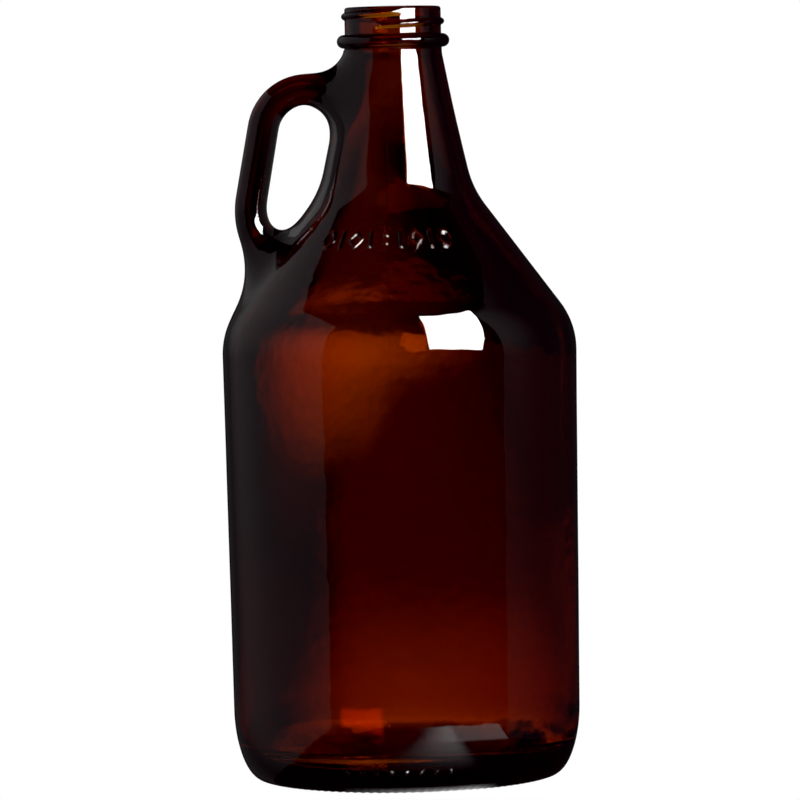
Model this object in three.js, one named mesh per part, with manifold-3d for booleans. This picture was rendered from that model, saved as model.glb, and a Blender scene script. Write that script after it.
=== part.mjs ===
// A 64 fl oz handled growler: an amber glass jug with a finger handle and a 38-400 screw finish.
// Millimetres, +Z up. The origin is on the jug's axis, in the plane that its bearing ring stands on.
// The handle lies in the XZ plane, on the -X side.
//
// The real jug is one glass moulding. It is made here as one solid and then cut by flat planes into
// the regions that a bottle maker names. Neighbouring regions touch face to face.
import * as THREE from "three";
import { mergeVertices } from "three/addons/utils/BufferGeometryUtils.js";
import Module from "manifold-3d";

const wasm = await Module();
wasm.setup();

// ---------------------------------------------------------------- driving dimensions
const HEIGHT = 276;
const WALL = 4;
const FACETS_AROUND = 48;
const DEGREES_PER_ARC_STEP = 12;

const base = {
  bearingInner: 49.5, // the flat ring that the jug stands on
  bearingOuter: 52.6,
  pushUp: 5, // how far the underside rises at its centre
  thickness: 4.5,
};

const heel = {
  height: 25,
  power: 1.92, // exponent of the superelliptic curve from the ring to the side
  steps: 6,
  innerRound: 9,
};

const body = {
  radiusAtGround: 61.94, // the straight side, carried down to the ground
  flare: 0.0101, // added radius for each millimetre of height
};

const shoulder = {
  cornerHeight: 161.7, // where the side's line meets the shoulder cone's
  round: 28,
};

const neck = {
  bendRadius: 27.5, // where the shoulder cone meets the neck cone
  bendHeight: 210.6,
  bendRound: 35,
  middleRadius: 21.5, // the neck's taper eases off here
  middleHeight: 237.5,
  middleRound: 600,
  topRadius: 17.4,
  topHeight: 259.2,
  topRound: 6,
};

const bead = {
  radius: 20.15, // the ring below the thread, by which the mould's arm carries the hot glass
  bottom: 261.4,
  top: 266.3,
  steps: 6,
};

// A 38-400 finish: 38 mm nominal, one turn of thread.
const finish = {
  rootRadius: 17.25,
  boreRadius: 13.3,
  edgeRound: 1,
};

const thread = {
  crestRadius: 18.45,
  pitch: 4.2333, // six threads to the inch
  startAngle: 246, // degrees round +Z from +X, at the lower end
  turn: 394, // degrees from the lower end to the upper end
  startHeight: 269.3,
  rootWidth: 2.6,
  crestWidth: 1,
  runOut: 24, // degrees over which each end rises out of the wall
  stepsPerTurn: 36,
};

const handle = {
  width: 13, // across the XZ plane
  edgeRound: 4.6, // its section is nearly an oval
  edgeSteps: 3,
  // The outer edge: x, z and the corner's rounding.
  outerRoot: [-10, 255.2],
  outerTop: [-49.4, 250.7, 20],
  outerBelly: [-58.8, 202.4, 34],
  outerFoot: [-51.6, 172.5],
  innerFoot: [-20, 178], // this corner and the root lie in the cavity, which cuts them away
  // The finger hole: the third side of its triangle is the neck and shoulder themselves.
  holeTopInner: [-21.4, 241, 6],
  holeTopOuter: [-40.6, 241, 9.5],
  holeBottom: [-51.3, 178.9, 6.4],
};

// The flat planes between the regions, and the two that end the free part of the handle.
const split = {
  baseTop: 12,
  heelTop: heel.height,
  sidewallTop: 160,
  shoulderTop: 211,
  handleFromAxis: 33.5,
  handleFromGround: 206,
};

// ---------------------------------------------------------------- outlines
// Corners are { r, z, round }: a corner with a round becomes an arc that is tangent to both its sides.
// A rounded first or last corner takes its neighbour from the other end, as in a closed outline.
function roundCorners(corners) {
  const points = [];
  corners.forEach((corner, i) => {
    const at = new THREE.Vector2(corner.r, corner.z);
    if (!corner.round) {
      points.push(at);
      return;
    }
    const previous = corners.at(i - 1);
    const next = corners[(i + 1) % corners.length];
    const before = new THREE.Vector2(previous.r, previous.z).sub(at).normalize();
    const after = new THREE.Vector2(next.r, next.z).sub(at).normalize();
    const halfAngle = Math.acos(THREE.MathUtils.clamp(before.dot(after), -1, 1)) / 2;
    const middle = before.clone().add(after).normalize();
    const centre = at.clone().addScaledVector(middle, corner.round / Math.sin(halfAngle));
    const tangent = corner.round / Math.tan(halfAngle);
    const first = at.clone().addScaledVector(before, tangent).sub(centre);
    const last = at.clone().addScaledVector(after, tangent).sub(centre);
    const sweep = Math.atan2(first.cross(last), first.dot(last));
    const steps = Math.max(2, Math.ceil(Math.abs(sweep) / THREE.MathUtils.degToRad(DEGREES_PER_ARC_STEP)));
    for (let k = 0; k <= steps; k++) {
      const turned = first.clone().rotateAround(new THREE.Vector2(), (sweep * k) / steps);
      points.push(turned.add(centre));
    }
  });
  return points;
}

// The same corners moved inwards by a wall's thickness, for the cavity that follows the outside.
function inset(corners, distance) {
  const sides = corners.slice(1).map((corner, i) => {
    const from = new THREE.Vector2(corners[i].r, corners[i].z);
    const along = new THREE.Vector2(corner.r, corner.z).sub(from).normalize();
    const inwards = new THREE.Vector2(-along.y, along.x);
    return { along, inwards, from: from.addScaledVector(inwards, distance) };
  });
  return corners.map((corner, i) => {
    const below = sides[Math.max(i - 1, 0)];
    const above = sides[Math.min(i, sides.length - 1)];
    const turn = below.along.cross(above.along);
    const at = new THREE.Vector2(corner.r, corner.z).addScaledVector(above.inwards, distance);
    if (Math.abs(turn) > 1e-6) {
      const reach = above.from.clone().sub(below.from).cross(above.along) / turn;
      at.copy(below.from).addScaledVector(below.along, reach);
    }
    const round = corner.round && corner.round - Math.sign(turn) * distance;
    return { r: at.x, z: at.y, round };
  });
}

function sideRadius(height) {
  return body.radiusAtGround + body.flare * height;
}

// The side, shoulder and neck, from the heel up to the bead.
function sideCorners() {
  return [
    { r: sideRadius(heel.height), z: heel.height },
    { r: sideRadius(shoulder.cornerHeight), z: shoulder.cornerHeight, round: shoulder.round },
    { r: neck.bendRadius, z: neck.bendHeight, round: neck.bendRound },
    { r: neck.middleRadius, z: neck.middleHeight, round: neck.middleRound },
    { r: neck.topRadius, z: neck.topHeight, round: neck.topRound },
    { r: neck.topRadius, z: bead.bottom },
  ];
}

// The underside rises as a shallow bowl inside the bearing ring.
function undersidePoints() {
  const points = [];
  const steps = 5;
  for (let k = 0; k <= steps; k++) {
    const share = k / steps;
    points.push(new THREE.Vector2(base.bearingInner * share, base.pushUp * (1 - share ** 2.5)));
  }
  return points;
}

function heelPoints() {
  const points = [];
  const width = sideRadius(heel.height) - base.bearingOuter;
  for (let k = 0; k < heel.steps; k++) {
    const angle = (Math.PI / 2) * (k / heel.steps);
    const out = Math.sin(angle) ** (2 / heel.power);
    const down = Math.cos(angle) ** (2 / heel.power);
    points.push(new THREE.Vector2(base.bearingOuter + width * out, heel.height * (1 - down)));
  }
  return points;
}

function beadPoints() {
  const points = [];
  const middle = (bead.top + bead.bottom) / 2;
  const halfHeight = (bead.top - bead.bottom) / 2;
  for (let k = 1; k < bead.steps; k++) {
    const angle = Math.PI * (k / bead.steps - 0.5);
    const out = (bead.radius - neck.topRadius) * Math.cos(angle);
    points.push(new THREE.Vector2(neck.topRadius + out, middle + halfHeight * Math.sin(angle)));
  }
  return points;
}

function outsidePoints() {
  const lip = [
    { r: finish.rootRadius, z: bead.top },
    { r: finish.rootRadius, z: HEIGHT, round: finish.edgeRound },
    { r: 0, z: HEIGHT },
  ];
  return [
    ...undersidePoints(),
    ...heelPoints(),
    ...roundCorners(sideCorners()),
    ...beadPoints(),
    ...roundCorners(lip),
  ];
}

// The cavity opens out over the lip, so that its top cuts the mouth clean through.
function cavityPoints() {
  const [bottom, ...above] = inset(sideCorners(), WALL);
  const upToNeck = above.slice(0, -2);
  const floor = base.pushUp + base.thickness;
  const floorEdge = base.thickness + 1;
  const mouth = finish.boreRadius + finish.edgeRound;
  const overLip = HEIGHT + 5;
  const corners = [
    { r: 0, z: floor },
    { r: base.bearingInner / 2, z: floor - base.pushUp * 0.35 },
    { r: bottom.r, z: floorEdge, round: heel.innerRound },
    ...upToNeck,
    { r: finish.boreRadius, z: neck.topHeight - 1, round: 12 },
    { r: finish.boreRadius, z: HEIGHT - finish.edgeRound },
  ];
  const quarter = Math.PI / 2;
  const mouthEdge = [1, 2].map(
    (k) =>
      new THREE.Vector2(
        mouth - finish.edgeRound * Math.cos((quarter * k) / 2),
        HEIGHT - finish.edgeRound + finish.edgeRound * Math.sin((quarter * k) / 2),
      ),
  );
  return [
    ...roundCorners(corners),
    ...mouthEdge,
    new THREE.Vector2(mouth, overLip),
    new THREE.Vector2(0, overLip),
  ];
}

// ---------------------------------------------------------------- solids
function toSolid(geometry) {
  const bare = geometry.clone();
  bare.deleteAttribute("normal");
  bare.deleteAttribute("uv");
  const merged = mergeVertices(bare, 1e-4);
  const triangles = [];
  for (let i = 0; i < merged.index.count; i += 3) {
    const [a, b, c] = [0, 1, 2].map((k) => merged.index.getX(i + k));
    if (a !== b && b !== c && c !== a) triangles.push(a, b, c);
  }
  const vertProperties = new Float32Array(merged.attributes.position.array);
  const triVerts = new Uint32Array(triangles);
  return new wasm.Manifold(new wasm.Mesh({ numProp: 3, vertProperties, triVerts }));
}

function toGeometry(solid) {
  const mesh = solid.getMesh();
  const positions = new THREE.BufferAttribute(new Float32Array(mesh.vertProperties), 3);
  const geometry = new THREE.BufferGeometry().setAttribute("position", positions);
  geometry.setIndex(new THREE.BufferAttribute(new Uint32Array(mesh.triVerts), 1));
  const flat = geometry.toNonIndexed();
  flat.computeVertexNormals();
  return flat;
}

function turned(points) {
  return toSolid(new THREE.LatheGeometry(points, FACETS_AROUND).rotateX(Math.PI / 2));
}

// The handle is a flat shape with a hole, extruded across the XZ plane, with edges rounded so far that
// the bar's section is nearly an oval. It runs on into the neck and shoulder.
function handleSolid() {
  const corner = ([x, z, round]) => ({ r: x, z, round });
  const outer = roundCorners(
    [handle.outerRoot, handle.outerTop, handle.outerBelly, handle.outerFoot, handle.innerFoot].map(corner),
  );
  const insideNeck = [1 - neck.bendRadius, neck.bendHeight];
  const hole = [handle.holeTopInner, handle.holeTopOuter, handle.holeBottom, insideNeck].map(corner);
  const shape = new THREE.Shape(outer);
  shape.holes.push(new THREE.Path(roundCorners(hole)));
  const depth = handle.width - 2 * handle.edgeRound;
  const geometry = new THREE.ExtrudeGeometry(shape, {
    depth,
    bevelEnabled: true,
    bevelThickness: handle.edgeRound,
    bevelSize: handle.edgeRound,
    bevelOffset: -handle.edgeRound,
    bevelSegments: handle.edgeSteps,
  });
  geometry.translate(0, 0, -depth / 2);
  return toSolid(geometry.rotateX(Math.PI / 2));
}

// The thread is a low ridge along a right-hand helix. Its section is a trapezium that starts inside the
// wall, and it shrinks into the wall at each end.
function threadSolid() {
  const steps = Math.round((thread.stepsPerTurn * thread.turn) / 360);
  const insideRadius = finish.rootRadius - 1;
  const positions = [];
  for (let k = 0; k <= steps; k++) {
    const along = (thread.turn * k) / steps;
    const angle = THREE.MathUtils.degToRad(thread.startAngle + along);
    const height = thread.startHeight + (thread.pitch * along) / 360;
    const fromEnd = Math.min(along, thread.turn - along) / thread.runOut;
    const rise = 0.05 + 0.95 * Math.sin((Math.PI / 2) * Math.min(fromEnd, 1));
    const crest = finish.rootRadius + (thread.crestRadius - finish.rootRadius) * rise;
    const section = [
      [insideRadius, -thread.rootWidth / 2],
      [finish.rootRadius, -thread.rootWidth / 2],
      [crest, -thread.crestWidth / 2],
      [crest, thread.crestWidth / 2],
      [finish.rootRadius, thread.rootWidth / 2],
      [insideRadius, thread.rootWidth / 2],
    ];
    section.forEach(([r, dz]) => positions.push(r * Math.cos(angle), r * Math.sin(angle), height + dz));
  }
  const sides = 6;
  const index = [];
  for (let k = 0; k < steps; k++) {
    for (let j = 0; j < sides; j++) {
      const a = k * sides + j;
      const b = k * sides + ((j + 1) % sides);
      index.push(a, b + sides, b, a, a + sides, b + sides);
    }
  }
  const last = steps * sides;
  for (let j = 1; j < sides - 1; j++) {
    index.push(0, j, j + 1);
    index.push(last, last + j + 1, last + j);
  }
  const geometry = new THREE.BufferGeometry();
  geometry.setAttribute("position", new THREE.Float32BufferAttribute(positions, 3));
  geometry.setIndex(index);
  return toSolid(geometry);
}

function block(low, high) {
  const size = high.map((value, i) => value - low[i]);
  const geometry = new THREE.BoxGeometry(...size);
  geometry.translate(...low.map((value, i) => value + size[i] / 2));
  return toSolid(geometry);
}

// ---------------------------------------------------------------- the jug and its regions
const jug = turned(outsidePoints()).add(threadSolid()).add(handleSolid()).subtract(turned(cavityPoints()));

const reach = 100; // past everything, to each side of the axis
const overTop = HEIGHT + 10;
const handleBlock = block(
  [-reach, -reach, split.handleFromGround],
  [-split.handleFromAxis, reach, overTop],
);
const jugWithoutHandle = jug.subtract(handleBlock);

function slab(bottom, top) {
  return jugWithoutHandle.intersect(block([-reach, -reach, bottom], [reach, reach, top]));
}

const regions = {
  base: slab(-1, split.baseTop),
  heel: slab(split.baseTop, split.heelTop),
  sidewall: slab(split.heelTop, split.sidewallTop),
  shoulder: slab(split.sidewallTop, split.shoulderTop),
  neck: slab(split.shoulderTop, bead.bottom),
  transfer_bead: slab(bead.bottom, bead.top),
  threaded_finish: slab(bead.top, overTop),
  handle: jug.intersect(handleBlock),
};

function amberGlass() {
  return new THREE.MeshStandardMaterial({
    color: 0x4a1606,
    roughness: 0.05,
    metalness: 0,
    transparent: true,
    opacity: 0.9,
  });
}

const growler = new THREE.Group();
for (const [name, solid] of Object.entries(regions)) {
  const mesh = new THREE.Mesh(toGeometry(solid), amberGlass());
  mesh.name = name;
  growler.add(mesh);
}

export default growler;
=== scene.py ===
# A handled amber glass growler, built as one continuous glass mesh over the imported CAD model.
# Lengths in the outlines are millimetres in the CAD's frame; the meshes are made in metres.
import math

import bmesh
import bpy
import numpy as np
from mathutils import Matrix, Vector, noise


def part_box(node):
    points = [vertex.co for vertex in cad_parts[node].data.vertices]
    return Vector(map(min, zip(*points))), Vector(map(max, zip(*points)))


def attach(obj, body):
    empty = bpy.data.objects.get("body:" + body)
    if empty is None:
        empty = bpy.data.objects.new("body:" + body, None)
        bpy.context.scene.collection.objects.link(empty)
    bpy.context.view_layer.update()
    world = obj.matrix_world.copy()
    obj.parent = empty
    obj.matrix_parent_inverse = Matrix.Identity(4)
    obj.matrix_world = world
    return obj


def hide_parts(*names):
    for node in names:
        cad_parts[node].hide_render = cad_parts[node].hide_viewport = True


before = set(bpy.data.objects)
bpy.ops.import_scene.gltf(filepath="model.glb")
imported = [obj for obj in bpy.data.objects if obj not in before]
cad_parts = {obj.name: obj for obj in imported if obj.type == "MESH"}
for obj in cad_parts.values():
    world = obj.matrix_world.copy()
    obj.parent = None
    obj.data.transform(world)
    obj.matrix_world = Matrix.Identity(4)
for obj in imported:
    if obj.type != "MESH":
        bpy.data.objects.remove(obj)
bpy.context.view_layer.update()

MM = 0.001
GLASS_NODES = [
    "base",
    "heel",
    "sidewall",
    "shoulder",
    "neck",
    "transfer_bead",
    "threaded_finish",
    "handle",
]


def box_mm(node):
    low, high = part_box(node)
    return np.array(low) / MM, np.array(high) / MM


# ------------------------------------------------------------------ dimensions
# Heights and radii of the regions come from the frame; the curves between them are the CAD's own.
HEIGHT = box_mm("threaded_finish")[1][2]
HEEL_TOP = box_mm("heel")[1][2]
SIDE_RADIUS_LOW = box_mm("heel")[1][0]
BEAD_BOTTOM, BEAD_TOP = box_mm("transfer_bead")[0][2], box_mm("transfer_bead")[1][2]
BEAD_RADIUS = box_mm("transfer_bead")[1][0]

WALL = 4.0
BASE_THICKNESS = 4.5
PUSH_UP = 5.0  # how far the underside rises at its centre
INSIDE_FLOOR = PUSH_UP + BASE_THICKNESS
INNER_HEEL_ROUND = 9.0
BEARING_INNER = 49.5
BEARING_OUTER = 52.6
RIB_DEPTH = 0.3  # of the fine ribs across the bearing ring
HEEL_POWER = 1.92  # exponent of the superelliptic curve from the ring to the side
SIDE_FLARE = 0.0101  # added radius for each millimetre of height
SHOULDER_HEIGHT = 161.7  # where the side's line meets the shoulder cone's
# Corners of the body's outline: radius, height and rounding.
SHOULDER_CORNER = (SIDE_RADIUS_LOW + SIDE_FLARE * (SHOULDER_HEIGHT - HEEL_TOP), SHOULDER_HEIGHT, 28.0)
NECK_BEND = (27.5, 210.6, 35.0)
NECK_MIDDLE = (21.5, 237.5, 600.0)
NECK_TOP = (17.4, 259.2, 6.0)
FINISH_ROOT = 17.25
BORE = 13.3
LIP_ROUND = 1.0

THREAD_RISE = 1.2
THREAD_PITCH = 4.2333
THREAD_START = math.radians(246)
THREAD_TURN = math.radians(394)
THREAD_START_HEIGHT = 269.3
THREAD_HALF_WIDTH = 1.3
THREAD_RUN_OUT = math.radians(26)

# The handle's centre line in the XZ plane (x, z, rounding), and half its oval section's depth and width.
HANDLE_LINE = [(-8, 244.2, 0), (-44.3, 249.2, 16.2), (-53.1, 201.9, 26), (-43.9, 174, 0)]
HANDLE_DEPTH_TOP = 5.4
HANDLE_DEPTH_LOW = 5.8
HANDLE_HALF_WIDTH = 6.6
HANDLE_BLEND = 14.0  # width of the fillet between the handle and the body

AROUND = 224  # columns of the lathe
HANDLE_SIDE = math.pi  # the handle's azimuth


# ------------------------------------------------------------------ outlines
def round_corners(corners, step=math.radians(1.5)):
    """Points of a polyline whose (x, z, rounding) corners become tangent arcs."""
    points = []
    for i, (x, z, rounding) in enumerate(corners):
        at = np.array([x, z], float)
        if not rounding:
            points.append(at)
            continue
        before = np.array(corners[i - 1][:2], float) - at
        after = np.array(corners[i + 1][:2], float) - at
        before /= np.linalg.norm(before)
        after /= np.linalg.norm(after)
        half = math.acos(np.clip(before @ after, -1, 1)) / 2
        middle = (before + after) / np.linalg.norm(before + after)
        centre = at + middle * rounding / math.sin(half)
        first = at + before * rounding / math.tan(half) - centre
        last = at + after * rounding / math.tan(half) - centre
        sweep = math.atan2(first[0] * last[1] - first[1] * last[0], first @ last)
        count = max(3, math.ceil(abs(sweep) / step))
        for k in range(count + 1):
            c, s = math.cos(sweep * k / count), math.sin(sweep * k / count)
            points.append(centre + np.array([first[0] * c - first[1] * s, first[0] * s + first[1] * c]))
    return np.array(points)


def inset(corners, distance):
    """The corners moved inwards, towards the axis, by a wall's thickness."""
    at = np.array([c[:2] for c in corners], float)
    forward = np.diff(at, axis=0)
    forward /= np.linalg.norm(forward, axis=1)[:, None]
    inwards = np.stack([-forward[:, 1], forward[:, 0]], axis=1)
    moved = []
    for i, (_, _, rounding) in enumerate(corners):
        a, b = max(i - 1, 0), min(i, len(forward) - 1)
        turn = forward[a][0] * forward[b][1] - forward[a][1] * forward[b][0]
        point = at[i] + inwards[b] * distance
        if abs(turn) > 1e-6:
            gap = (at[b] + inwards[b] * distance) - (at[a] + inwards[a] * distance)
            reach = (gap[0] * forward[b][1] - gap[1] * forward[b][0]) / turn
            point = at[a] + inwards[a] * distance + forward[a] * reach
        moved.append((point[0], point[1], rounding and rounding - math.copysign(distance, turn)))
    return moved


SIDE_CORNERS = [
    (SIDE_RADIUS_LOW, HEEL_TOP, 0),
    SHOULDER_CORNER,
    NECK_BEND,
    NECK_MIDDLE,
    NECK_TOP,
    (NECK_TOP[0], BEAD_BOTTOM, 0),
]


def heel_curve(count=60):
    """The superelliptic curve from the bearing ring up to the straight side."""
    angles = np.linspace(0, math.pi / 2, count)
    out = np.sin(angles) ** (2 / HEEL_POWER)
    down = np.cos(angles) ** (2 / HEEL_POWER)
    width = SIDE_RADIUS_LOW - BEARING_OUTER
    return np.stack([BEARING_OUTER + width * out, HEEL_TOP * (1 - down)], axis=1)


def underside_curve(count=40):
    share = np.linspace(0, 1, count)
    return np.stack([BEARING_INNER * share, PUSH_UP * (1 - share**2.5)], axis=1)


def bead_curve(count=40):
    angles = np.linspace(-math.pi / 2, math.pi / 2, count)
    middle, half = (BEAD_TOP + BEAD_BOTTOM) / 2, (BEAD_TOP - BEAD_BOTTOM) / 2
    out = (BEAD_RADIUS - NECK_TOP[0]) * np.cos(angles) ** 0.9
    return np.stack([NECK_TOP[0] + out, middle + half * np.sin(angles)], axis=1)


def inside_outline():
    """From the lip's inner edge down the bore to the middle of the floor."""
    side = inset(SIDE_CORNERS, WALL)
    corners = [
        (0, INSIDE_FLOOR, 0),
        (BEARING_INNER / 2, INSIDE_FLOOR - PUSH_UP * 0.35, 40),
        (side[0][0], BASE_THICKNESS + 0.5, INNER_HEEL_ROUND),
        *side[1:-2],
        (BORE, NECK_TOP[1] - 1, 12),
        (BORE, HEIGHT, LIP_ROUND),
        (BORE + LIP_ROUND, HEIGHT, 0),
    ]
    return round_corners(corners)[::-1]


def clean(points):
    """Drops points that repeat the one before."""
    keep = np.concatenate([[True], np.linalg.norm(np.diff(points, axis=0), axis=1) > 1e-4])
    return points[keep]


def lengths(points):
    """The length of a polyline up to each of its points."""
    return np.concatenate([[0], np.cumsum(np.linalg.norm(np.diff(points, axis=0), axis=1))])


def at_length(points, wanted):
    """The points that lie at the wanted lengths of a polyline."""
    total = lengths(points)
    return np.stack([np.interp(wanted, total, points[:, 0]), np.interp(wanted, total, points[:, 1])], axis=1)


# ------------------------------------------------------------------ the outer surface as a formula
POINTS_AT_ONCE = 4000  # keeps the table of distances small


def nearest_on(points, line):
    """Signed distance of 2D points to a polyline, positive to its right, and its length up to there."""
    start, step = line[:-1], np.diff(line, axis=0)
    size = (step**2).sum(1)
    signed = np.empty(len(points))
    reached = np.empty(len(points))
    total = lengths(line)
    for low in range(0, len(points), POINTS_AT_ONCE):
        chunk = slice(low, low + POINTS_AT_ONCE)
        part = points[chunk]
        offset = part[:, None, :] - start[None]
        t = np.clip((offset * step[None]).sum(2) / size, 0, 1)
        gap = offset - t[..., None] * step[None]
        distance = np.sqrt((gap**2).sum(2))
        best = distance.argmin(1)
        rows = np.arange(len(part))
        cross = step[best, 0] * offset[rows, best, 1] - step[best, 1] * offset[rows, best, 0]
        signed[chunk] = np.where(cross < 0, 1, -1) * distance[rows, best]
        reached[chunk] = total[best] + t[rows, best] * np.sqrt(size[best])
    return signed, reached


HANDLE_PATH = clean(round_corners(HANDLE_LINE, math.radians(4)))
BODY_PATH = clean(round_corners([*SIDE_CORNERS[:-1], (NECK_TOP[0], HEIGHT, 0)], math.radians(2)))


def body_distance(p):
    """Signed distance to the body's outer surface, positive outside."""
    return nearest_on(np.stack([np.hypot(p[:, 0], p[:, 1]), p[:, 2]], axis=1), BODY_PATH)[0]


def handle_depth(reached):
    """Half the bar's depth in the handle's plane, at a length along its centre line."""
    share = np.clip(reached / lengths(HANDLE_PATH)[-1], 0, 1)
    return HANDLE_DEPTH_TOP + (HANDLE_DEPTH_LOW - HANDLE_DEPTH_TOP) * share


def handle_distance(p):
    """Nearly the signed distance to the handle's oval bar, whose depth grows towards its foot."""
    across, reached = nearest_on(p[:, [0, 2]], HANDLE_PATH)
    depth = handle_depth(reached)
    scaled = np.hypot(across / depth, p[:, 1] / HANDLE_HALF_WIDTH)
    steep = np.hypot(across / depth**2, p[:, 1] / HANDLE_HALF_WIDTH**2)
    return scaled * (scaled - 1) / np.maximum(steep, 1e-6)


def outside_distance(p):
    """Distance to the body and handle, joined by a fillet."""
    a, b = body_distance(p), handle_distance(p)
    h = np.maximum(HANDLE_BLEND - np.abs(a - b), 0) / HANDLE_BLEND
    return np.minimum(a, b) - h * h * HANDLE_BLEND / 4


def onto_surface(p, rounds=5):
    """Moves points along the gradient until they lie on the outer surface."""
    p = p.copy()
    d = 0.01
    for _ in range(rounds):
        value = outside_distance(p)
        grad = np.stack([(outside_distance(p + d * e) - value) / d for e in np.eye(3)], axis=1)
        p -= (value / np.maximum((grad**2).sum(1), 0.05))[:, None] * grad
    return p


# ------------------------------------------------------------------ rows of the lathe
# The two patches of the lathe that the handle's ends replace: their heights, rows and columns.
UPPER_PORT = {"low": 234.0, "high": 258.6, "rows": 20, "columns": 44}
LOWER_PORT = {"low": 166.0, "high": 204.0, "rows": 38, "columns": 26}
# Heights where the spacing of the rows changes, outside and inside.
SIDE_ROWS_TOP = 150.0
BEND_ROWS_TOP = 219.0
INSIDE_CUTS = [HEIGHT - LIP_ROUND, 262.0, 225.0, SIDE_ROWS_TOP, 22.0]
INSIDE_ROWS = [8, 20, 34, 22]  # between those heights
INSIDE_FLOOR_ROWS = 26  # below the last of them


def stretch(curve, count):
    """Evenly spaced points along a curve, without its last one."""
    return at_length(curve, np.linspace(0, lengths(curve)[-1], count, endpoint=False))


def between(curve, low, high, count):
    """Evenly spaced points between two heights of a curve that climbs."""
    total = lengths(curve)
    ends = np.interp([low, high], curve[:, 1], total)
    return at_length(curve, np.linspace(*ends, count, endpoint=False))


def all_rows():
    """The rows of the closed lathe, stretch by stretch: up the outside, over the lip and down the inside."""
    side = clean(round_corners(SIDE_CORNERS))
    wall = np.array([[FINISH_ROOT, BEAD_TOP], [FINISH_ROOT, HEIGHT - LIP_ROUND]])
    quarter = np.linspace(0, math.pi / 2, 12)
    corner = LIP_ROUND * np.stack([np.cos(quarter), np.sin(quarter)], axis=1)
    outer_edge = corner + [FINISH_ROOT - LIP_ROUND, HEIGHT - LIP_ROUND]
    inner_edge = corner[::-1] * [-1, 1] + [BORE + LIP_ROUND, HEIGHT - LIP_ROUND]
    land = np.array([outer_edge[-1], inner_edge[0]])
    inside = clean(inside_outline())
    falling = inside * [1, -1]
    spans = zip(INSIDE_CUTS, INSIDE_CUTS[1:], INSIDE_ROWS)
    inner = [between(falling, -high, -low, count) * [1, -1] for high, low, count in spans]
    floor_from = int(np.argmax(inside[:, 1] <= INSIDE_CUTS[-1]))
    return [
        ("underside", stretch(underside_curve(), 12)),
        ("bearing", stretch(np.array([[BEARING_INNER, 0], [BEARING_OUTER, 0]]), 3)),
        ("heel", stretch(heel_curve(), 18)),
        ("side", between(side, HEEL_TOP, SIDE_ROWS_TOP, 24)),
        ("corner", between(side, SIDE_ROWS_TOP, LOWER_PORT["low"], 15)),
        ("lower_port", between(side, LOWER_PORT["low"], LOWER_PORT["high"], LOWER_PORT["rows"])),
        ("bend", between(side, LOWER_PORT["high"], BEND_ROWS_TOP, 12)),
        ("neck", between(side, BEND_ROWS_TOP, UPPER_PORT["low"], 10)),
        ("upper_port", between(side, UPPER_PORT["low"], UPPER_PORT["high"], UPPER_PORT["rows"])),
        ("neck_top", between(side, UPPER_PORT["high"], BEAD_BOTTOM, 3)),
        ("bead", stretch(bead_curve(), 16)),
        ("finish", stretch(wall, 42)),
        ("outer_edge", stretch(outer_edge, 4)),
        ("land", stretch(land, 2)),
        ("inner_edge", stretch(inner_edge, 4)),
        ("inside", np.concatenate([*inner, stretch(inside[floor_from:], INSIDE_FLOOR_ROWS)])),
    ]


class Lathe:
    """A closed grid of rows round the axis, with a pole under it and a pole on the floor inside."""

    def __init__(self):
        self.first = {}
        rows = []
        for name, points in all_rows():
            self.first[name] = len(rows)
            rows.extend(points)
        self.rows = np.array(rows[1:])  # the first point is on the axis: a pole, not a row
        self.first = {name: max(row - 1, 0) for name, row in self.first.items()}
        self.count = len(self.rows)
        angle = np.arange(AROUND) * 2 * math.pi / AROUND
        r, z = self.rows[:, 0, None], self.rows[:, 1, None]
        grid = np.stack([r * np.cos(angle), r * np.sin(angle), z + 0 * angle], axis=2)
        self.points = np.concatenate([grid.reshape(-1, 3), [[0, 0, PUSH_UP], [0, 0, INSIDE_FLOOR]]])

    def at(self, row, column):
        return row * AROUND + column % AROUND

    def faces(self, skip):
        """Quads of the grid and the fans at its poles, apart from those in skip's row and column ranges."""
        made = []
        for row in range(self.count - 1):
            for column in range(AROUND):
                if any(row in rows and column in columns for rows, columns in skip):
                    continue
                ring = [(row, column), (row, column + 1), (row + 1, column + 1), (row + 1, column)]
                made.append([self.at(*corner) for corner in ring])
        under, floor = len(self.points) - 2, len(self.points) - 1
        for column in range(AROUND):
            made.append([under, self.at(0, column + 1), self.at(0, column)])
            made.append([floor, self.at(self.count - 1, column), self.at(self.count - 1, column + 1)])
        return made


def port_ranges(lathe, name, port):
    """The rows and columns of quads that a handle port takes out of the grid."""
    middle = round(HANDLE_SIDE / (2 * math.pi) * AROUND)
    low = lathe.first[name]
    half = port["columns"] // 2
    return range(low, low + port["rows"]), range(middle - half, middle + half)


def port_loop(lathe, name, port, start_low):
    """Vertices round a port, from the middle of its outer edge towards +Y."""
    rows, columns = port_ranges(lathe, name, port)
    low, high = rows[0], rows[-1] + 1
    left, right = columns[0], columns[-1] + 1
    middle = (left + right) // 2
    near, far = (low, high) if start_low else (high, low)
    step = 1 if start_low else -1
    loop = [(near, c) for c in range(middle, left, -1)]
    loop += [(r, left) for r in range(near, far, step)]
    loop += [(far, c) for c in range(left, right)]
    loop += [(r, right) for r in range(far, near, -step)]
    loop += [(near, c) for c in range(right, middle, -1)]
    return [lathe.at(*corner) for corner in loop]


# ------------------------------------------------------------------ the handle
HANDLE_FREE_FROM = 26.0  # along the centre line, where the arm is clear of the neck's fillet
HANDLE_FREE_TO = 83.0  # and where the bar reaches the shoulder's
HANDLE_RINGS = 34
HANDLE_ROOT_RINGS = (12, 16)  # between the free handle and the upper and the lower port
SMOOTHING_ROUNDS = 14
SMOOTHING_SHARE = 0.6


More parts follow.
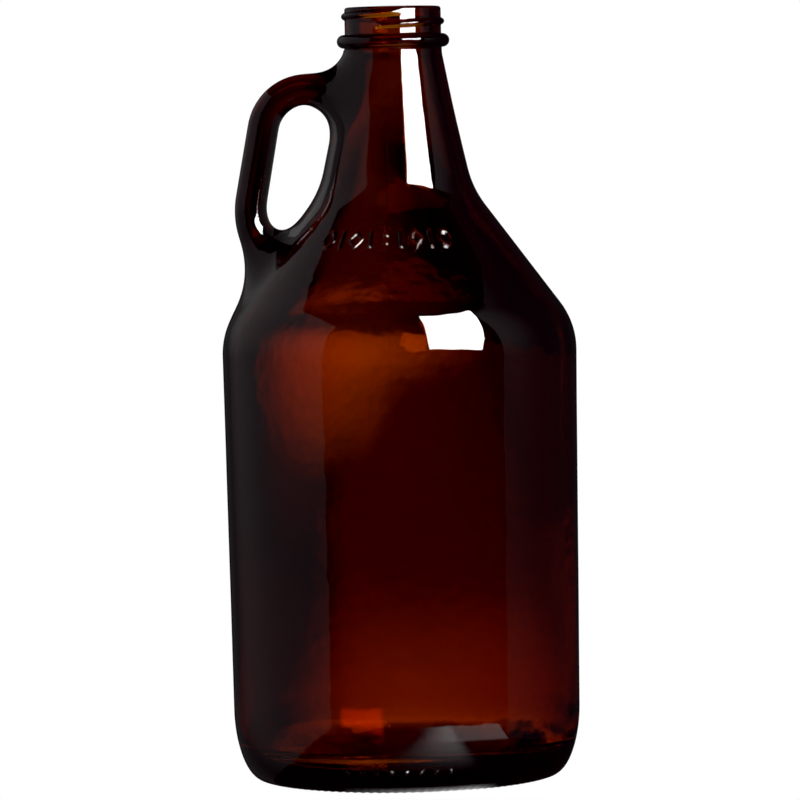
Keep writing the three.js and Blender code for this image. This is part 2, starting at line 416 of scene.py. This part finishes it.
def handle_ring(reached, around):
    """A ring of the free handle at a length along its centre line, starting on its outer side."""
    behind, here, ahead = at_length(HANDLE_PATH, [reached - 0.5, reached, reached + 0.5])
    forward = (ahead - behind) / np.linalg.norm(ahead - behind)
    outwards = np.array([forward[1], -forward[0]])
    angle = np.arange(around) * 2 * math.pi / around
    flat = here[None] + handle_depth(reached) * np.cos(angle)[:, None] * outwards[None]
    return np.stack([flat[:, 0], HANDLE_HALF_WIDTH * np.sin(angle), flat[:, 1]], axis=1)


def handle_points(upper, lower):
    """Rings from the upper port's loop to the lower port's, without those two."""
    around = len(upper)
    free = np.linspace(HANDLE_FREE_FROM, HANDLE_FREE_TO, HANDLE_RINGS)
    tube = [handle_ring(s, around) for s in free]
    top, foot = HANDLE_ROOT_RINGS
    start = [upper + (tube[0] - upper) * (k / top) for k in range(1, top)]
    end = [tube[-1] + (lower - tube[-1]) * (k / foot) for k in range(1, foot)]
    rings = np.array([upper, *start, *tube, *end, lower])
    inner = rings[1:-1]
    rings[1:-1] = onto_surface(inner.reshape(-1, 3)).reshape(inner.shape)
    for _ in range(SMOOTHING_ROUNDS):
        near = (rings[:-2] + rings[2:]) / 4 + (np.roll(rings, 1, 1) + np.roll(rings, -1, 1))[1:-1] / 4
        rings[1:-1] += SMOOTHING_SHARE * (near - rings[1:-1])
        inner = rings[1:-1]
        rings[1:-1] = onto_surface(inner.reshape(-1, 3), 2).reshape(inner.shape)
    return rings[1:-1]


# ------------------------------------------------------------------ details of the surface
def thread_rise(p):
    """How far the thread stands out of the finish at each point."""
    azimuth = np.arctan2(p[:, 1], p[:, 0])
    rise = np.zeros(len(p))
    for turn in range(3):
        angle = np.mod(azimuth - THREAD_START, 2 * math.pi) + 2 * math.pi * turn
        height = THREAD_START_HEIGHT + THREAD_PITCH * angle / (2 * math.pi)
        across = np.abs(p[:, 2] - height) / THREAD_HALF_WIDTH
        end = np.clip(np.minimum(angle, THREAD_TURN - angle) / THREAD_RUN_OUT, 0, 1)
        ridge = np.clip(1 - across**2.2, 0, 1) ** 0.8
        rise = np.maximum(rise, THREAD_RISE * ridge * np.sin(end * math.pi / 2))
    return rise


def smooth_step(value, low, high):
    """0 up to low, 1 from high on, and a smooth blend between."""
    t = np.clip((value - low) / (high - low), 0, 1)
    return t * t * (3 - 2 * t)


MARK_HEIGHT = 193.8  # the middle of the raised marks on the shoulder's front
MARK_RADIUS = 39.8
MARK_RISE = 0.5
MARK_PITCH = 5.3
MARK_TURN = -0.105  # radians round the shoulder from the middle of the front
MARK_HALF_HEIGHT = 3.3
STROKE = 0.42  # half the width of a mark's line
SHOULDER_SLOPE = math.radians(36.5)
MARKS = ["ring", "bar", "lozenge", "bar", "dots", "bar", "lozenge", "bar", "ring"]


def mark_distance(kind, u, v):
    """Distance to the strokes of one mark, centred at 0, 0."""
    half = MARK_HALF_HEIGHT
    if kind == "bar":
        return np.hypot(u, np.maximum(np.abs(v) - half, 0)) - STROKE
    if kind == "ring":
        return np.abs(np.hypot(u / 0.62, v) - half + 0.2) * 0.8 - STROKE
    if kind == "lozenge":
        return np.abs((np.abs(u) * 1.5 + np.abs(v) - half) * 0.62) - STROKE
    return np.hypot(u, np.abs(v) - 1.6) - 0.75


def mark_rise(p):
    """The raised marks: a plain row of bars, rings, lozenges and dots."""
    azimuth = np.arctan2(p[:, 0], -p[:, 1]) - MARK_TURN
    u = azimuth * MARK_RADIUS
    v = (p[:, 2] - MARK_HEIGHT) / math.cos(SHOULDER_SLOPE)
    rise = np.zeros(len(p))
    for k, kind in enumerate(MARKS):
        centre = (k - (len(MARKS) - 1) / 2) * MARK_PITCH
        gap = mark_distance(kind, u - centre, v)
        rise = np.maximum(rise, MARK_RISE * (1 - smooth_step(gap, -0.12, 0.34)))
    return rise


DOT_HEIGHT = 8.0
DOT_PITCH = 5.2
DOT_COUNT = 8
DOT_RADIUS = 0.95
DOT_RISE = 0.9
DOT_TURN = -0.055  # radians round the heel from the middle of the front
DOT_HEEL_RADIUS = 59.4  # of the heel at the dots' height


def dot_rise(p):
    """A row of small raised dots low on the heel's front."""
    azimuth = np.arctan2(p[:, 0], -p[:, 1]) - DOT_TURN
    u = azimuth * DOT_HEEL_RADIUS
    rise = np.zeros(len(p))
    for k in range(DOT_COUNT):
        centre = (k - (DOT_COUNT - 1) / 2) * DOT_PITCH
        gap = np.hypot(u - centre, (p[:, 2] - DOT_HEIGHT) * 1.15)
        rise = np.maximum(rise, DOT_RISE * np.clip(1 - (gap / DOT_RADIUS) ** 2, 0, 1))
    return rise


def ripple(p, size, seed):
    """Smooth noise from about -1 to 1 for each point, with waves of a given size in millimetres."""
    shift = Vector((seed * 17.3, seed * 5.1, seed * 9.7))
    return np.array([noise.noise(Vector(q) / size + shift) for q in p])


# ------------------------------------------------------------------ the glass mesh
def refine(mesh, chosen, cuts):
    """Splits the chosen faces into smaller ones; their neighbours take the extra corners."""
    faces = [f for f in mesh.faces if chosen(f.calc_center_median())]
    edges = list(dict.fromkeys(edge for face in faces for edge in face.edges))
    bmesh.ops.subdivide_edges(mesh, edges=edges, cuts=cuts, use_grid_fill=True)


def in_front(point, half_angle, low, high):
    """Whether a point is on the jug's outer skin, near enough to its front and between two heights."""
    azimuth = math.atan2(point.x, -point.y)
    radius = math.hypot(point.x, point.y)
    outer = radius > np.interp(point.z, BODY_LOOKUP[:, 1], BODY_LOOKUP[:, 0]) - WALL / 2
    return abs(azimuth) < half_angle and low < point.z < high and outer


BODY_LOOKUP = clean(np.concatenate([heel_curve(), round_corners(SIDE_CORNERS)]))  # radius by height


def mark_zone(point):
    half_angle = len(MARKS) * MARK_PITCH / 2 / MARK_RADIUS + 0.03 - MARK_TURN
    return in_front(point, half_angle, MARK_HEIGHT - 4.2, MARK_HEIGHT + 4.2)


def dot_zone(point):
    half_angle = DOT_COUNT * DOT_PITCH / 2 / DOT_HEEL_RADIUS - DOT_TURN
    return in_front(point, half_angle, DOT_HEIGHT - 1.6, DOT_HEIGHT + 1.6)


def glass_mesh():
    """The lathe with the handle grown out of its two ports, the thread, the ribs and the fine detail."""
    lathe = Lathe()
    points = lathe.points.copy()
    lower = port_loop(lathe, "lower_port", LOWER_PORT, True)
    upper = port_loop(lathe, "upper_port", UPPER_PORT, False)
    skip = [port_ranges(lathe, "lower_port", LOWER_PORT), port_ranges(lathe, "upper_port", UPPER_PORT)]
    faces = lathe.faces(skip)

    index = np.arange(len(points))
    outside = (index >= lathe.first["corner"] * AROUND) & (index < lathe.first["bead"] * AROUND)
    outside &= (points[:, 0] < 0) & (np.abs(points[:, 1]) < HANDLE_HALF_WIDTH + 1.5 * HANDLE_BLEND)
    points[outside] = onto_surface(points[outside])
    rings = handle_points(points[upper], points[lower])
    around = len(upper)
    base_index = len(points)
    loops = [upper, *[[base_index + k * around + m for m in range(around)] for k in range(len(rings))], lower]
    for a, b in zip(loops, loops[1:]):
        faces += [[a[m], a[(m + 1) % around], b[(m + 1) % around], b[m]] for m in range(around)]
    points = np.concatenate([points, rings.reshape(-1, 3)])

    finish = slice(lathe.first["finish"] * AROUND, lathe.first["outer_edge"] * AROUND)
    rise = thread_rise(points[finish])
    outward = points[finish] * [1, 1, 0]
    outward /= np.linalg.norm(outward, axis=1)[:, None]
    points[finish] += outward * rise[:, None]

    for row in range(lathe.first["bearing"], lathe.first["heel"] + 3):
        ribs = slice(row * AROUND, (row + 1) * AROUND, 2)
        points[ribs, 2] += RIB_DEPTH

    mesh = bmesh.new()
    made = [mesh.verts.new(p) for p in points]
    for face in faces:
        mesh.faces.new([made[i] for i in face])
    bmesh.ops.delete(mesh, geom=[v for v in mesh.verts if not v.link_faces], context="VERTS")
    refine(mesh, mark_zone, 4)
    refine(mesh, dot_zone, 4)
    bmesh.ops.recalc_face_normals(mesh, faces=mesh.faces)
    mesh.normal_update()
    detail(mesh)
    for v in mesh.verts:
        v.co *= MM
    for f in mesh.faces:
        f.smooth = True
    data = bpy.data.meshes.new("glass")
    mesh.to_mesh(data)
    mesh.free()
    return data


def detail(mesh):
    """Raises the marks and dots, and gives both surfaces the slight unevenness of blown glass."""
    verts = list(mesh.verts)
    p = np.array([v.co for v in verts])
    normal = np.array([v.normal for v in verts])
    radius = np.hypot(p[:, 0], p[:, 1])
    skin = np.interp(p[:, 2], BODY_LOOKUP[:, 1], BODY_LOOKUP[:, 0])
    outer = (radius > skin - WALL / 2) & (p[:, 2] < BEAD_BOTTOM)
    front = np.abs(np.arctan2(p[:, 0], -p[:, 1])) < 0.8
    marked = outer & front & (np.abs(p[:, 2] - MARK_HEIGHT) < 6)
    dotted = outer & front & (np.abs(p[:, 2] - DOT_HEIGHT) < 3)
    for zone, rise_of in ((marked, mark_rise), (dotted, dot_rise)):
        q = p[zone]
        target = np.interp(q[:, 2], BODY_LOOKUP[:, 1], BODY_LOOKUP[:, 0])
        q[:, :2] *= (target / np.hypot(q[:, 0], q[:, 1]))[:, None]
        p[zone] = q + normal[zone] * rise_of(q)[:, None]
    outer_wave = 0.05 * ripple(p, 42, 1) + 0.02 * ripple(p, 15, 2)
    inner_wave = 0.24 * ripple(p * [1, 1, 0.6], 34, 3) + 0.03 * ripple(p, 13, 4)
    fade = smooth_step(p[:, 2], 8, 20) * (1 - smooth_step(p[:, 2], BEAD_BOTTOM - 8, BEAD_BOTTOM))
    wave = np.where(outer, outer_wave, inner_wave) * fade
    p += normal * wave[:, None]
    for v, q in zip(verts, p):
        v.co = q


# ------------------------------------------------------------------ materials
def new_material(name):
    material = bpy.data.materials.new(name)
    material.use_nodes = True
    material.node_tree.nodes.clear()
    return material


def add_node(tree, kind, inputs=None, **settings):
    """A node with its inputs' values and its settings."""
    node = tree.nodes.new(kind)
    for key, value in settings.items():
        setattr(node, key, value)
    for key, value in (inputs or {}).items():
        node.inputs[key].default_value = value
    return node


def maths(tree, operation, *terms):
    """Sockets and plain numbers joined by one operation, from left to right."""
    total = terms[0]
    for term in terms[1:]:
        node = add_node(tree, "ShaderNodeMath", operation=operation)
        for value, socket in zip((total, term), node.inputs):
            if isinstance(value, (int, float)):
                socket.default_value = value
            else:
                tree.links.new(value, socket)
        total = node.outputs[0]
    return total


def times(tree, *factors):
    return maths(tree, "MULTIPLY", *factors)


def add(tree, *terms):
    return maths(tree, "ADD", *terms)


def ramp(tree, source, start, end, low=0.0, high=1.0):
    """low up to start, high from end on, and a smooth blend between."""
    node = add_node(tree, "ShaderNodeMapRange", {1: start, 2: end, 3: low, 4: high})
    node.interpolation_type = "SMOOTHSTEP"
    tree.links.new(source, node.inputs[0])
    return node.outputs[0]


def band(tree, source, rise, fall):
    """1 between two spans, climbing from 0 over the first and dropping back over the second."""
    return times(tree, ramp(tree, source, *rise), ramp(tree, source, *fall, 1.0, 0.0))


ABSORPTION = (330.0, 645.0, 1500.0)  # per metre of glass, for red, green and blue
SEAM_X = -0.0033  # metres, where the mould's halves met at the front
SEAM_HALF_WIDTH = 0.0006
SEAM_HEIGHT = 3.0  # on the bump's scale, where the fine unevenness is up to 1


def glass_relief(tree, where):
    """Two sockets: the height of the unevenness, scuffs and mould seam, and where the glass is scuffed."""
    link = tree.links.new
    fine = add_node(tree, "ShaderNodeTexNoise", {"Scale": 90.0, "Detail": 2.0})
    link(where, fine.inputs["Vector"])
    scuffs = add_node(tree, "ShaderNodeTexNoise", {"Scale": 60.0, "Detail": 6.0, "Roughness": 0.7})
    stretched = add_node(tree, "ShaderNodeMapping", {"Scale": (4, 4, 0.6)})
    link(where, stretched.inputs["Vector"])
    link(stretched.outputs["Vector"], scuffs.inputs["Vector"])
    split = add_node(tree, "ShaderNodeSeparateXYZ")
    link(where, split.inputs[0])
    apart = add_node(tree, "ShaderNodeMath", operation="ABSOLUTE")
    link(add(tree, split.outputs[0], -SEAM_X), apart.inputs[0])
    front = ramp(tree, split.outputs[1], -0.03, -0.02, 1.0, 0.0)
    seam = times(tree, SEAM_HEIGHT, ramp(tree, apart.outputs[0], 0.0, SEAM_HALF_WIDTH, 1.0, 0.0), front)
    marks = times(tree, 0.25, ramp(tree, scuffs.outputs["Fac"], 0.68, 0.74))
    return add(tree, fine.outputs["Fac"], seam, marks), scuffs.outputs["Fac"]


def amber_glass():
    """Clear glass, a little rougher where it is scuffed. Its amber is what it absorbs."""
    material = new_material("amber_glass")
    tree = material.node_tree
    link = tree.links.new
    out = add_node(tree, "ShaderNodeOutputMaterial")
    shine = add_node(
        tree,
        "ShaderNodeBsdfPrincipled",
        {"Base Color": (1, 1, 1, 1), "IOR": 1.52, "Transmission Weight": 1.0},
    )
    where = add_node(tree, "ShaderNodeTexCoord").outputs["Object"]
    relief, wear = glass_relief(tree, where)
    bump = add_node(tree, "ShaderNodeBump", {"Strength": 0.05, "Distance": 0.002})
    link(relief, bump.inputs["Height"])
    link(bump.outputs["Normal"], shine.inputs["Normal"])
    link(ramp(tree, wear, 0.55, 0.75, 0.012, 0.05), shine.inputs["Roughness"])
    link(shine.outputs["BSDF"], out.inputs["Surface"])
    most = max(ABSORPTION)
    colour = (*[1 - a / most for a in ABSORPTION], 1)
    inside = add_node(tree, "ShaderNodeVolumeAbsorption", {"Color": colour, "Density": most})
    link(inside.outputs["Volume"], out.inputs["Volume"])
    return material


# ------------------------------------------------------------------ the stage
# The studio is built from glowing cards, seen only in and through the glass. Lengths here are metres.
def place(tree):
    """The point on the card as a vector, and its x, y and z; every card's own frame is the scene's."""
    where = add_node(tree, "ShaderNodeTexCoord").outputs["Object"]
    split = add_node(tree, "ShaderNodeSeparateXYZ")
    tree.links.new(where, split.inputs[0])
    return where, *split.outputs


def distance_from(tree, source, centre, stretch_by=(1, 1, 1)):
    """The distance of a point from a centre, with each axis stretched."""
    mapping = add_node(tree, "ShaderNodeMapping", {"Scale": stretch_by})
    mapping.inputs["Location"].default_value = [-c * k for c, k in zip(centre, stretch_by)]
    tree.links.new(source, mapping.inputs["Vector"])
    length = add_node(tree, "ShaderNodeVectorMath", operation="LENGTH")
    tree.links.new(mapping.outputs["Vector"], length.inputs[0])
    return length.outputs["Value"]


def along(tree, source, direction):
    """How far a point lies along a direction."""
    dot = add_node(tree, "ShaderNodeVectorMath", operation="DOT_PRODUCT")
    dot.inputs[1].default_value = direction
    tree.links.new(source, dot.inputs[0])
    return dot.outputs["Value"]


def spot(tree, at, centre, radius, stretch_by=(1, 1, 1)):
    """1 at a centre, falling smoothly to 0 at a radius."""
    return ramp(tree, distance_from(tree, at, centre, stretch_by), 0.0, radius, 1.0, 0.0)


def stage_sheet(name, corners, faces, material, glossy=True, transmission=True):
    """A sheet of the stage that casts no shadow and is seen only in the glass, through it, or both."""
    mesh = bpy.data.meshes.new(name)
    mesh.from_pydata(corners, [], faces)
    mesh.materials.append(material)
    sheet = bpy.data.objects.new(name, mesh)
    bpy.context.collection.objects.link(sheet)
    sheet.visible_camera = False
    sheet.visible_diffuse = False
    sheet.visible_shadow = False
    sheet.visible_glossy = glossy
    sheet.visible_transmission = transmission


def card(name, corners, strength, glossy=True, transmission=False, colour=(1, 1, 1)):
    """A glowing, see-through polygon; strength is a number or a function that makes it in a node tree."""
    material = new_material(name)
    tree = material.node_tree
    out = add_node(tree, "ShaderNodeOutputMaterial")
    glow = add_node(tree, "ShaderNodeEmission", {"Color": (*colour, 1)})
    if callable(strength):
        tree.links.new(strength(tree), glow.inputs["Strength"])
    else:
        glow.inputs["Strength"].default_value = strength
    clear = add_node(tree, "ShaderNodeBsdfTransparent")
    both = add_node(tree, "ShaderNodeAddShader")
    tree.links.new(glow.outputs["Emission"], both.inputs[0])
    tree.links.new(clear.outputs["BSDF"], both.inputs[1])
    tree.links.new(both.outputs["Shader"], out.inputs["Surface"])
    stage_sheet(name, corners, [list(range(len(corners)))], material, glossy, transmission)


def flag(name, low, high):
    """A black strip between two rows of points, which hides part of the stage from the glass."""
    material = new_material(name)
    tree = material.node_tree
    out = add_node(tree, "ShaderNodeOutputMaterial")
    black = add_node(tree, "ShaderNodeEmission", {"Strength": 0.0})
    tree.links.new(black.outputs["Emission"], out.inputs["Surface"])
    quads = [[k, k + 1, len(low) + k + 1, len(low) + k] for k in range(len(low) - 1)]
    stage_sheet(name, low + high, quads, material)


def make_world():
    """White to the camera, nearly dark to the glass: all its light comes from the table and the cards."""
    world = bpy.data.worlds.new("studio")
    bpy.context.scene.world = world
    world.use_nodes = True
    tree = world.node_tree
    tree.nodes.clear()
    link = tree.links.new
    out = add_node(tree, "ShaderNodeOutputWorld")
    path = add_node(tree, "ShaderNodeLightPath")
    dim = add_node(tree, "ShaderNodeBackground", {"Color": (1, 1, 1, 1), "Strength": 0.008})
    white = add_node(tree, "ShaderNodeBackground", {"Color": (1, 1, 1, 1), "Strength": 1.0})
    seen = add_node(tree, "ShaderNodeMixShader")
    link(path.outputs["Is Camera Ray"], seen.inputs["Fac"])
    link(dim.outputs["Background"], seen.inputs[1])
    link(white.outputs["Background"], seen.inputs[2])
    link(seen.outputs["Shader"], out.inputs["Surface"])


def table_light(tree):
    """The table's brightness through the glass: a lit strip behind the jug, shade left of it and under it."""
    at, x, _, _ = place(tree)
    away = distance_from(tree, at, (0, 0, 0))
    right_shade = ramp(tree, x, 0.03, 0.07, 0.0, -0.11)
    left_shade = ramp(tree, x, -0.06, -0.02, -0.035, 0.0)
    clear_of_jug = ramp(tree, add(tree, away, right_shade, left_shade), 0.062, 0.17)
    far = ramp(tree, away, 0.12, 0.9, 1.5, 0.36)
    from_edge = add(tree, x, ramp(tree, away, 0.6, 1.4, 0.0, 0.04))
    strip = times(tree, ramp(tree, from_edge, -0.07, -0.022), ramp(tree, x, 0.06, 0.2, 1.0, 0.25), far)
    right = times(tree, 0.8, ramp(tree, x, 0.1, 0.3), ramp(tree, away, 0.7, 1.3, 1.0, 0.1))
    sideways = maths(tree, "DIVIDE", x, away)
    left = times(tree, 0.4, ramp(tree, sideways, -0.65, -0.5, 1.0, 0.0), far)
    return times(tree, clear_of_jug, add(tree, strip, right, left))


def make_floor():
    """Plain white to the camera. Through the glass it is a table lit round the jug and dark under it."""
    material = new_material("floor")
    tree = material.node_tree
    link = tree.links.new
    out = add_node(tree, "ShaderNodeOutputMaterial")
    path = add_node(tree, "ShaderNodeLightPath")
    lit = add_node(tree, "ShaderNodeEmission", {"Color": (1, 0.65, 0.5, 1)})
    link(table_light(tree), lit.inputs["Strength"])
    white = add_node(tree, "ShaderNodeEmission", {"Strength": 1.0})
    mix = add_node(tree, "ShaderNodeMixShader")
    link(path.outputs["Is Camera Ray"], mix.inputs["Fac"])
    link(lit.outputs["Emission"], mix.inputs[1])
    link(white.outputs["Emission"], mix.inputs[2])
    link(mix.outputs["Shader"], out.inputs["Surface"])
    bpy.ops.mesh.primitive_circle_add(vertices=96, radius=6, fill_type="NGON", location=(0, 0, 0))
    floor = bpy.context.object
    floor.name = "floor"
    floor.data.materials.append(material)
    floor.visible_glossy = False


def left_wall(tree):
    """Brightest high up, fading towards the back."""
    at, _, _, z = place(tree)
    back = ramp(tree, along(tree, at, (0, 1, -1.2)), 0.12, 0.85, 1.0, 0.18)
    return times(tree, 0.21, back, ramp(tree, z, 0.05, 0.35, 0.6, 1.0))


def right_wall(tree):
    """Nearly dark, with a dim upright band at its front edge."""
    _, _, y, z = place(tree)
    front = ramp(tree, y, -0.25, 0.15, 1.0, 0.0)
    heights = times(tree, ramp(tree, z, 0.0, 0.4, 0.15, 1.0), ramp(tree, z, 0.85, 0.95, 1.0, 0.1))
    return add(tree, times(tree, 0.2, front, heights), ramp(tree, y, -0.1, 0.8, 0.028, 0.004))


def lit_table(tree):
    """Light on the table in front of the jug to the right, seen in its heel: a pool, a streak and a rim."""
    at, x, _, _ = place(tree)
    away = distance_from(tree, at, (0, 0, 0))
    turn = ramp(tree, maths(tree, "DIVIDE", x, away), 0.05, 0.5)
    pool = times(tree, 0.9, band(tree, away, (0.108, 0.118), (0.2, 0.215)), turn)
    across = along(tree, at, (0.927, 0.375, 0))
    sides = band(tree, across, (-0.045, -0.002), (0.0, 0.014))
    streak = times(tree, 1.1, sides, ramp(tree, away, 0.064, 0.105))
    rim = times(tree, 1.5, sides, ramp(tree, away, 0.0545, 0.057, 1.0, 0.0))
    return add(tree, pool, streak, rim)


BACK = 0.4  # how far behind the jug's axis the glowing back card stands


def behind_neck(tree, x):
    """The sides of the light behind the neck and the finish: bright, and dimmer to the right."""
    return times(tree, ramp(tree, x, -0.22, -0.13), ramp(tree, x, 0.1, 0.15, 1.0, 0.12))


def back_glow(tree):
    """A soft light low behind the jug, left of centre, fading upwards, and a wide one behind the neck."""
    at, x, _, z = place(tree)
    core = times(tree, 2.7, spot(tree, at, (-0.049, BACK, 0.129), 0.058, (1, 1, 1.15)))
    tail = times(tree, 0.2, spot(tree, at, (-0.07, BACK, 0.092), 0.05))
    halo_top = ramp(tree, along(tree, at, (0.25, 0, 1)), 0.151, 0.16, 1.0, 0.3)
    halo = times(tree, 2.3, spot(tree, at, (-0.014, BACK, 0.148), 0.075, (1, 1, 2.2)), halo_top)
    haze_right = ramp(tree, along(tree, at, (1, 0, 0.5)), 0.064, 0.115, 1.0, 0.0)
    haze_sides = times(tree, 0.5, ramp(tree, x, -0.065, -0.045), haze_right)
    haze = times(tree, haze_sides, band(tree, z, (0.16, 0.178), (0.222, 0.25)))
    neck = times(tree, 0.7, behind_neck(tree, x), ramp(tree, z, 0.222, 0.262))
    pane_sides = band(tree, x, (0.003, 0.0045), (0.015, 0.018))
    pane = times(tree, 2.2, pane_sides, band(tree, z, (0.138, 0.142), (0.154, 0.158)))
    return add(tree, core, tail, halo, haze, neck, pane)


def top_glow(tree):
    """Light behind the finish."""
    _, x, _, z = place(tree)
    return times(tree, 0.6, behind_neck(tree, x), band(tree, z, (0.262, 0.285), (0.34, 0.38)))


def inner_glow(tree):
    """A small soft-edged patch of light at the foot of the far wall."""
    at, x, _, z = place(tree)
    sides = band(tree, x, (-0.0268, -0.0238), (-0.0112, -0.0082))
    low = ramp(tree, along(tree, at, (0.15, 0, 1)), 0.007, 0.0095)
    return times(tree, 0.6, sides, low, ramp(tree, z, 0.0172, 0.0197, 1.0, 0.0))


def arc(radius, height, low, high, count):
    """Points on a level arc in front of the jug; low and high are degrees to the right of its front."""
    turns = [math.radians(low + (high - low) * k / (count - 1)) for k in range(count)]
    return [(radius * math.sin(a), -radius * math.cos(a), height) for a in turns]


def upright(low_left, high_right):
    """The corners of an upright rectangle between two opposite ones, given as x, y, z."""
    (x0, y0, z0), (x1, y1, z1) = low_left, high_right
    return [(x0, y0, z0), (x1, y1, z0), (x1, y1, z1), (x0, y0, z1)]


def make_reflections():
    """What the glass mirrors: a softbox at the right front, dim side walls, the lit table, and a card by the
    grip that paints a grey reflection in the shoulder over the handle's own.
    """
    softbox = [(0.171, -0.526, 0.252), (0.439, -0.337, 0.207), (0.28, -0.105, 0.596), (0.09, -0.275, 0.611)]
    card("softbox", softbox, 30.0, transmission=True)
    flag("neck_flag", arc(0.145, 0.312, 0, 90, 7), arc(0.145, 0.44, 0, 90, 7))
    left = [(-0.6, -0.52, -0.09), (-0.6, 1.9, -1.05), (-0.6, 1.9, 0.84), (-0.6, -0.52, 0.84)]
    card("left_wall", left, left_wall)
    card("right_wall", upright((0.6, -0.25, -0.16), (0.6, 1.9, 1.2)), right_wall)
    card("lit_table", arc(0.22, 0, -25, 53, 6) + arc(0.052, 0, -25, 53, 6)[::-1], lit_table)
    # A dim glowing card inside the handle's loop, seen only in reflections: it paints a grey reflection on
    # the shoulder where the handle itself would be mirrored.
    grip_top = [(-0.0405, -0.0072, 0.238), (-0.0405, 0.012, 0.238)]
    grip_low = [(-0.0455, 0.012, 0.179), (-0.0455, -0.0072, 0.179)]
    card("painted_grip_reflection", grip_top + grip_low, 0.1)


def make_glows():
    """What shines through the glass."""
    through = {"glossy": False, "transmission": True}
    behind = upright((-0.4, BACK, 0), (0.4, BACK, 0.6))
    card("back_glow", behind, back_glow, colour=(1, 1.3, 1), **through)
    above = upright((-0.4, BACK + 0.001, 0), (0.4, BACK + 0.001, 0.6))
    card("top_glow", above, top_glow, colour=(1, 0.5, 0.4), **through)
    inner = upright((-0.028, 0.048, 0.008), (-0.007, 0.048, 0.021))
    card("inner_glow", inner, inner_glow, colour=(1, 0.1, 0.0), **through)


CAMERA_AT = (0, -1.833, 0.2327)
CAMERA_AIM = (-0.0002, 0, 0.13515)
CAMERA_ROLL = math.radians(-1.2)


def make_camera():
    """A long lens at the height of the jug's neck, tipped slightly down and rolled by a degree."""
    camera = bpy.data.cameras.new("camera")
    camera.sensor_width = 36
    camera.lens = 230
    seen = bpy.data.objects.new("camera", camera)
    bpy.context.collection.objects.link(seen)
    seen.location = CAMERA_AT
    look = (Vector(CAMERA_AIM) - seen.location).to_track_quat("-Z", "Y").to_matrix()
    roll = Matrix.Rotation(CAMERA_ROLL, 3, "Z")
    seen.rotation_euler = (look @ roll).to_euler()
    camera.clip_start, camera.clip_end = 0.05, 50
    bpy.context.scene.camera = seen


def make_jug():
    glass = bpy.data.objects.new("glass_jug", glass_mesh())
    bpy.context.collection.objects.link(glass)
    glass.data.materials.append(amber_glass())
    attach(glass, "root")
    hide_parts(*GLASS_NODES)


def set_looks():
    """Plain contrast, with the faintest greens and blues cut, and enough bounces for nested glass walls."""
    scene = bpy.context.scene
    scene.view_settings.view_transform = "Standard"
    scene.view_settings.use_curve_mapping = True
    scene.view_settings.curve_mapping.black_level = (0.0, 0.002, 0.001)
    scene.cycles.max_bounces = 24
    scene.cycles.transmission_bounces = 24


def build():
    make_camera()
    set_looks()
    make_jug()
    make_world()
    make_floor()
    make_reflections()
    make_glows()


build()
